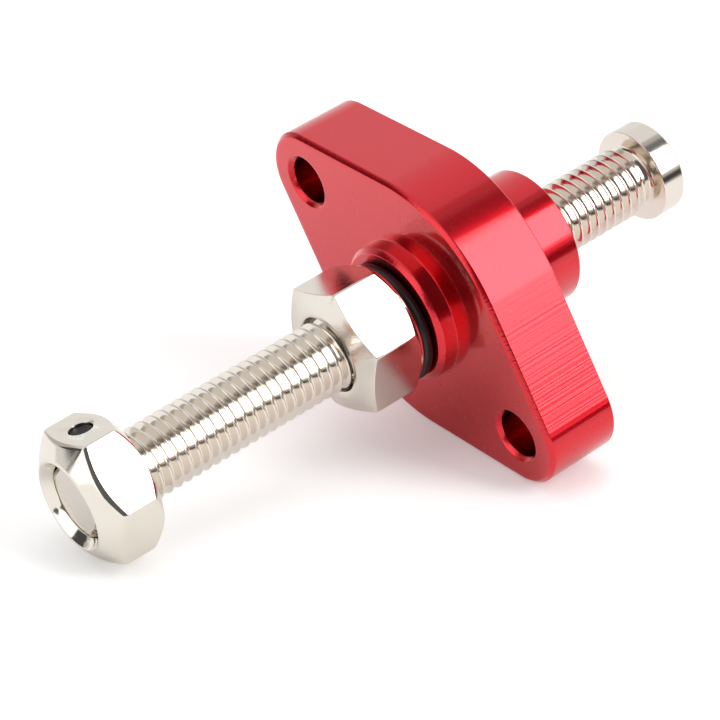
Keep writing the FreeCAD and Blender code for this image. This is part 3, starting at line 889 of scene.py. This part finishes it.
material = bpy.data.materials.new("white_paper")
material.use_nodes = True
tree = material.node_tree
tree.nodes.remove(tree.nodes["Principled BSDF"])
paper = add(tree, "ShaderNodeBsdfDiffuse", {"Color": linear("#F3F3F3")})
rays = add(tree, "ShaderNodeLightPath")
in_mirrors = {0: rays.outputs["Is Glossy Ray"], 1: MIRROR_LIFT}
mirrored = add(tree, "ShaderNodeMath", in_mirrors, operation="MULTIPLY")
for_camera = {0: rays.outputs["Is Camera Ray"], 1: FLOOR_LIFT, 2: mirrored.outputs[0]}
lift = add(tree, "ShaderNodeMath", for_camera, operation="MULTIPLY_ADD")
glow = add(tree, "ShaderNodeEmission", {"Strength": lift.outputs[0]})
lit = add(tree, "ShaderNodeAddShader", {0: paper.outputs[0], 1: glow.outputs[0]})
clear = add(tree, "ShaderNodeBsdfTransparent")
underside = add(tree, "ShaderNodeNewGeometry").outputs["Backfacing"]
sides = add(tree, "ShaderNodeMixShader", {"Fac": underside, 1: lit.outputs[0], 2: clear.outputs[0]})
tree.links.new(sides.outputs[0], tree.nodes["Material Output"].inputs["Surface"])
mesh.materials.append(material)
print(f"floor glow: {FLOOR_LIFT} for the camera, {MIRROR_LIFT} in reflections")

# %% [markdown]
# ## The studio in the reflections
# Nickel has hardly a colour of its own, and shows what stands round it: a white backdrop, softboxes, and
# the dark room between them. They could all be planes, but each plane would also cast light and shadow.
# Here the world is a painted map. A patch has its middle, in degrees to the right of straight ahead and
# above the floor, its half width and half height, how soft its sides and its top and bottom are, and how
# bright it is. Later patches cover earlier ones, and a brightness of 1 is white paper.

# %% A map of the studio
PLAIN_ROOM = (0.5, 0.48, 0.46, 1.0)
STUDIO = [
    # the white backdrop behind the part, and the white ceiling on the left
    ((0, 22), (38, 36), (6, 6), 0.86),
    ((-75, 62), (112, 32), (8, 8), 0.82),
    # a dark gap between backdrop and softbox, and the dark room behind the camera
    ((79, 70), (16, 14), (18, 6), 0.17),
    ((172, 25), (42, 45), (6, 6), 0.12),
    ((-140, -15), (20, 15), (5, 5), 0.13),
    # the pale far left, its dark side, the left softbox, and the right softbox above a dark gap
    ((-90, -8), (50, 13), (6, 4), 0.75),
    ((-86, 15), (16, 11), (4, 4), 0.07),
    ((-126, 14), (23, 17), (4, 4), 1.4),
    ((110, -2), (18, 6), (6, 4), 0.05),
    ((111, 37), (16, 23), (3, 11), 5.0),
]
print("patches of the studio:", len(STUDIO))

# %% Two angles for every direction
world = bpy.data.worlds.new("studio")
bpy.context.scene.world = world
world.use_nodes = True
tree = world.node_tree
way = add(tree, "ShaderNodeTexCoord").outputs["Generated"]
shares = []
for axis in (UP, RIGHT, AHEAD):
    share = add(tree, "ShaderNodeVectorMath", {0: way, 1: axis}, operation="DOT_PRODUCT")
    shares.append(share.outputs["Value"])
rise = add(tree, "ShaderNodeMath", {0: shares[0]}, operation="ARCSINE").outputs[0]
turn = add(tree, "ShaderNodeMath", {0: shares[1], 1: shares[2]}, operation="ARCTAN2").outputs[0]
degrees = []
for angle in (turn, rise):
    degrees.append(add(tree, "ShaderNodeMath", {0: angle}, operation="DEGREES").outputs[0])
print("nodes that read a direction:", len(tree.nodes))

# %% Paint the patches
colour = PLAIN_ROOM
for middle, half, soft, brightness in STUDIO:
    inside = []
    for angle, place, reach, blur in zip(degrees, middle, half, soft):
        away = add(tree, "ShaderNodeMath", {0: angle, 1: place}, operation="SUBTRACT").outputs[0]
        nearest = add(tree, "ShaderNodeMath", {0: away, 1: 180.0, 2: -180.0}, operation="WRAP").outputs[0]
        inside.append(near(tree, nearest, 0.0, reach + blur / 2, reach - blur / 2))
    mask = add(tree, "ShaderNodeMath", {0: inside[0], 1: inside[1]}, operation="MULTIPLY").outputs[0]
    # sockets 6 and 7 of a Mix node are its two colours, and output 2 is the mixed one
    colours = {"Factor": mask, 6: colour, 7: (brightness, brightness, brightness, 1.0)}
    colour = add(tree, "ShaderNodeMix", colours, data_type="RGBA").outputs[2]
room = tree.nodes["Background"]
tree.links.new(colour, room.inputs["Color"])
white = add(tree, "ShaderNodeBackground", {"Color": (1, 1, 1, 1)})
seen = add(tree, "ShaderNodeLightPath").outputs["Is Camera Ray"]
backdrop = add(tree, "ShaderNodeMixShader", {"Fac": seen, 1: room.outputs[0], 2: white.outputs[0]})
tree.links.new(backdrop.outputs[0], tree.nodes["World Output"].inputs["Surface"])
print("nodes in the world:", len(tree.nodes))

# %% [markdown]
# ## The camera
# A long lens looks down along the stud from the hexagon's end. The camera could be aimed by eye, but its
# place and its two directions were fitted to the object's edges in the photograph, so that the two
# pictures can be laid over each other.

# %% Set up the camera
LENS = 140.49
CAMERA_PLACE = Vector((-184.0422, -251.3577, 207.3264)) * MM
CAMERA_RIGHT = Vector((0.76925524, -0.62262444, -0.14347539))
CAMERA_ABOVE = Vector((0.45618242, 0.37796926, 0.80562822))

camera = bpy.data.objects.new("camera", bpy.data.cameras.new("camera"))
camera.data.sensor_width = 36
camera.data.lens = LENS
camera.data.clip_start = 0.01
axes = Matrix((CAMERA_RIGHT, CAMERA_ABOVE, CAMERA_RIGHT.cross(CAMERA_ABOVE))).transposed()
camera.matrix_world = Matrix.Translation(CAMERA_PLACE) @ axes.to_4x4()
bpy.context.scene.collection.objects.link(camera)
bpy.context.scene.camera = camera
bpy.context.scene.view_settings.view_transform = "Standard"
print(f"camera: {LENS} mm lens, {CAMERA_PLACE.length:.3f} m from the flange")
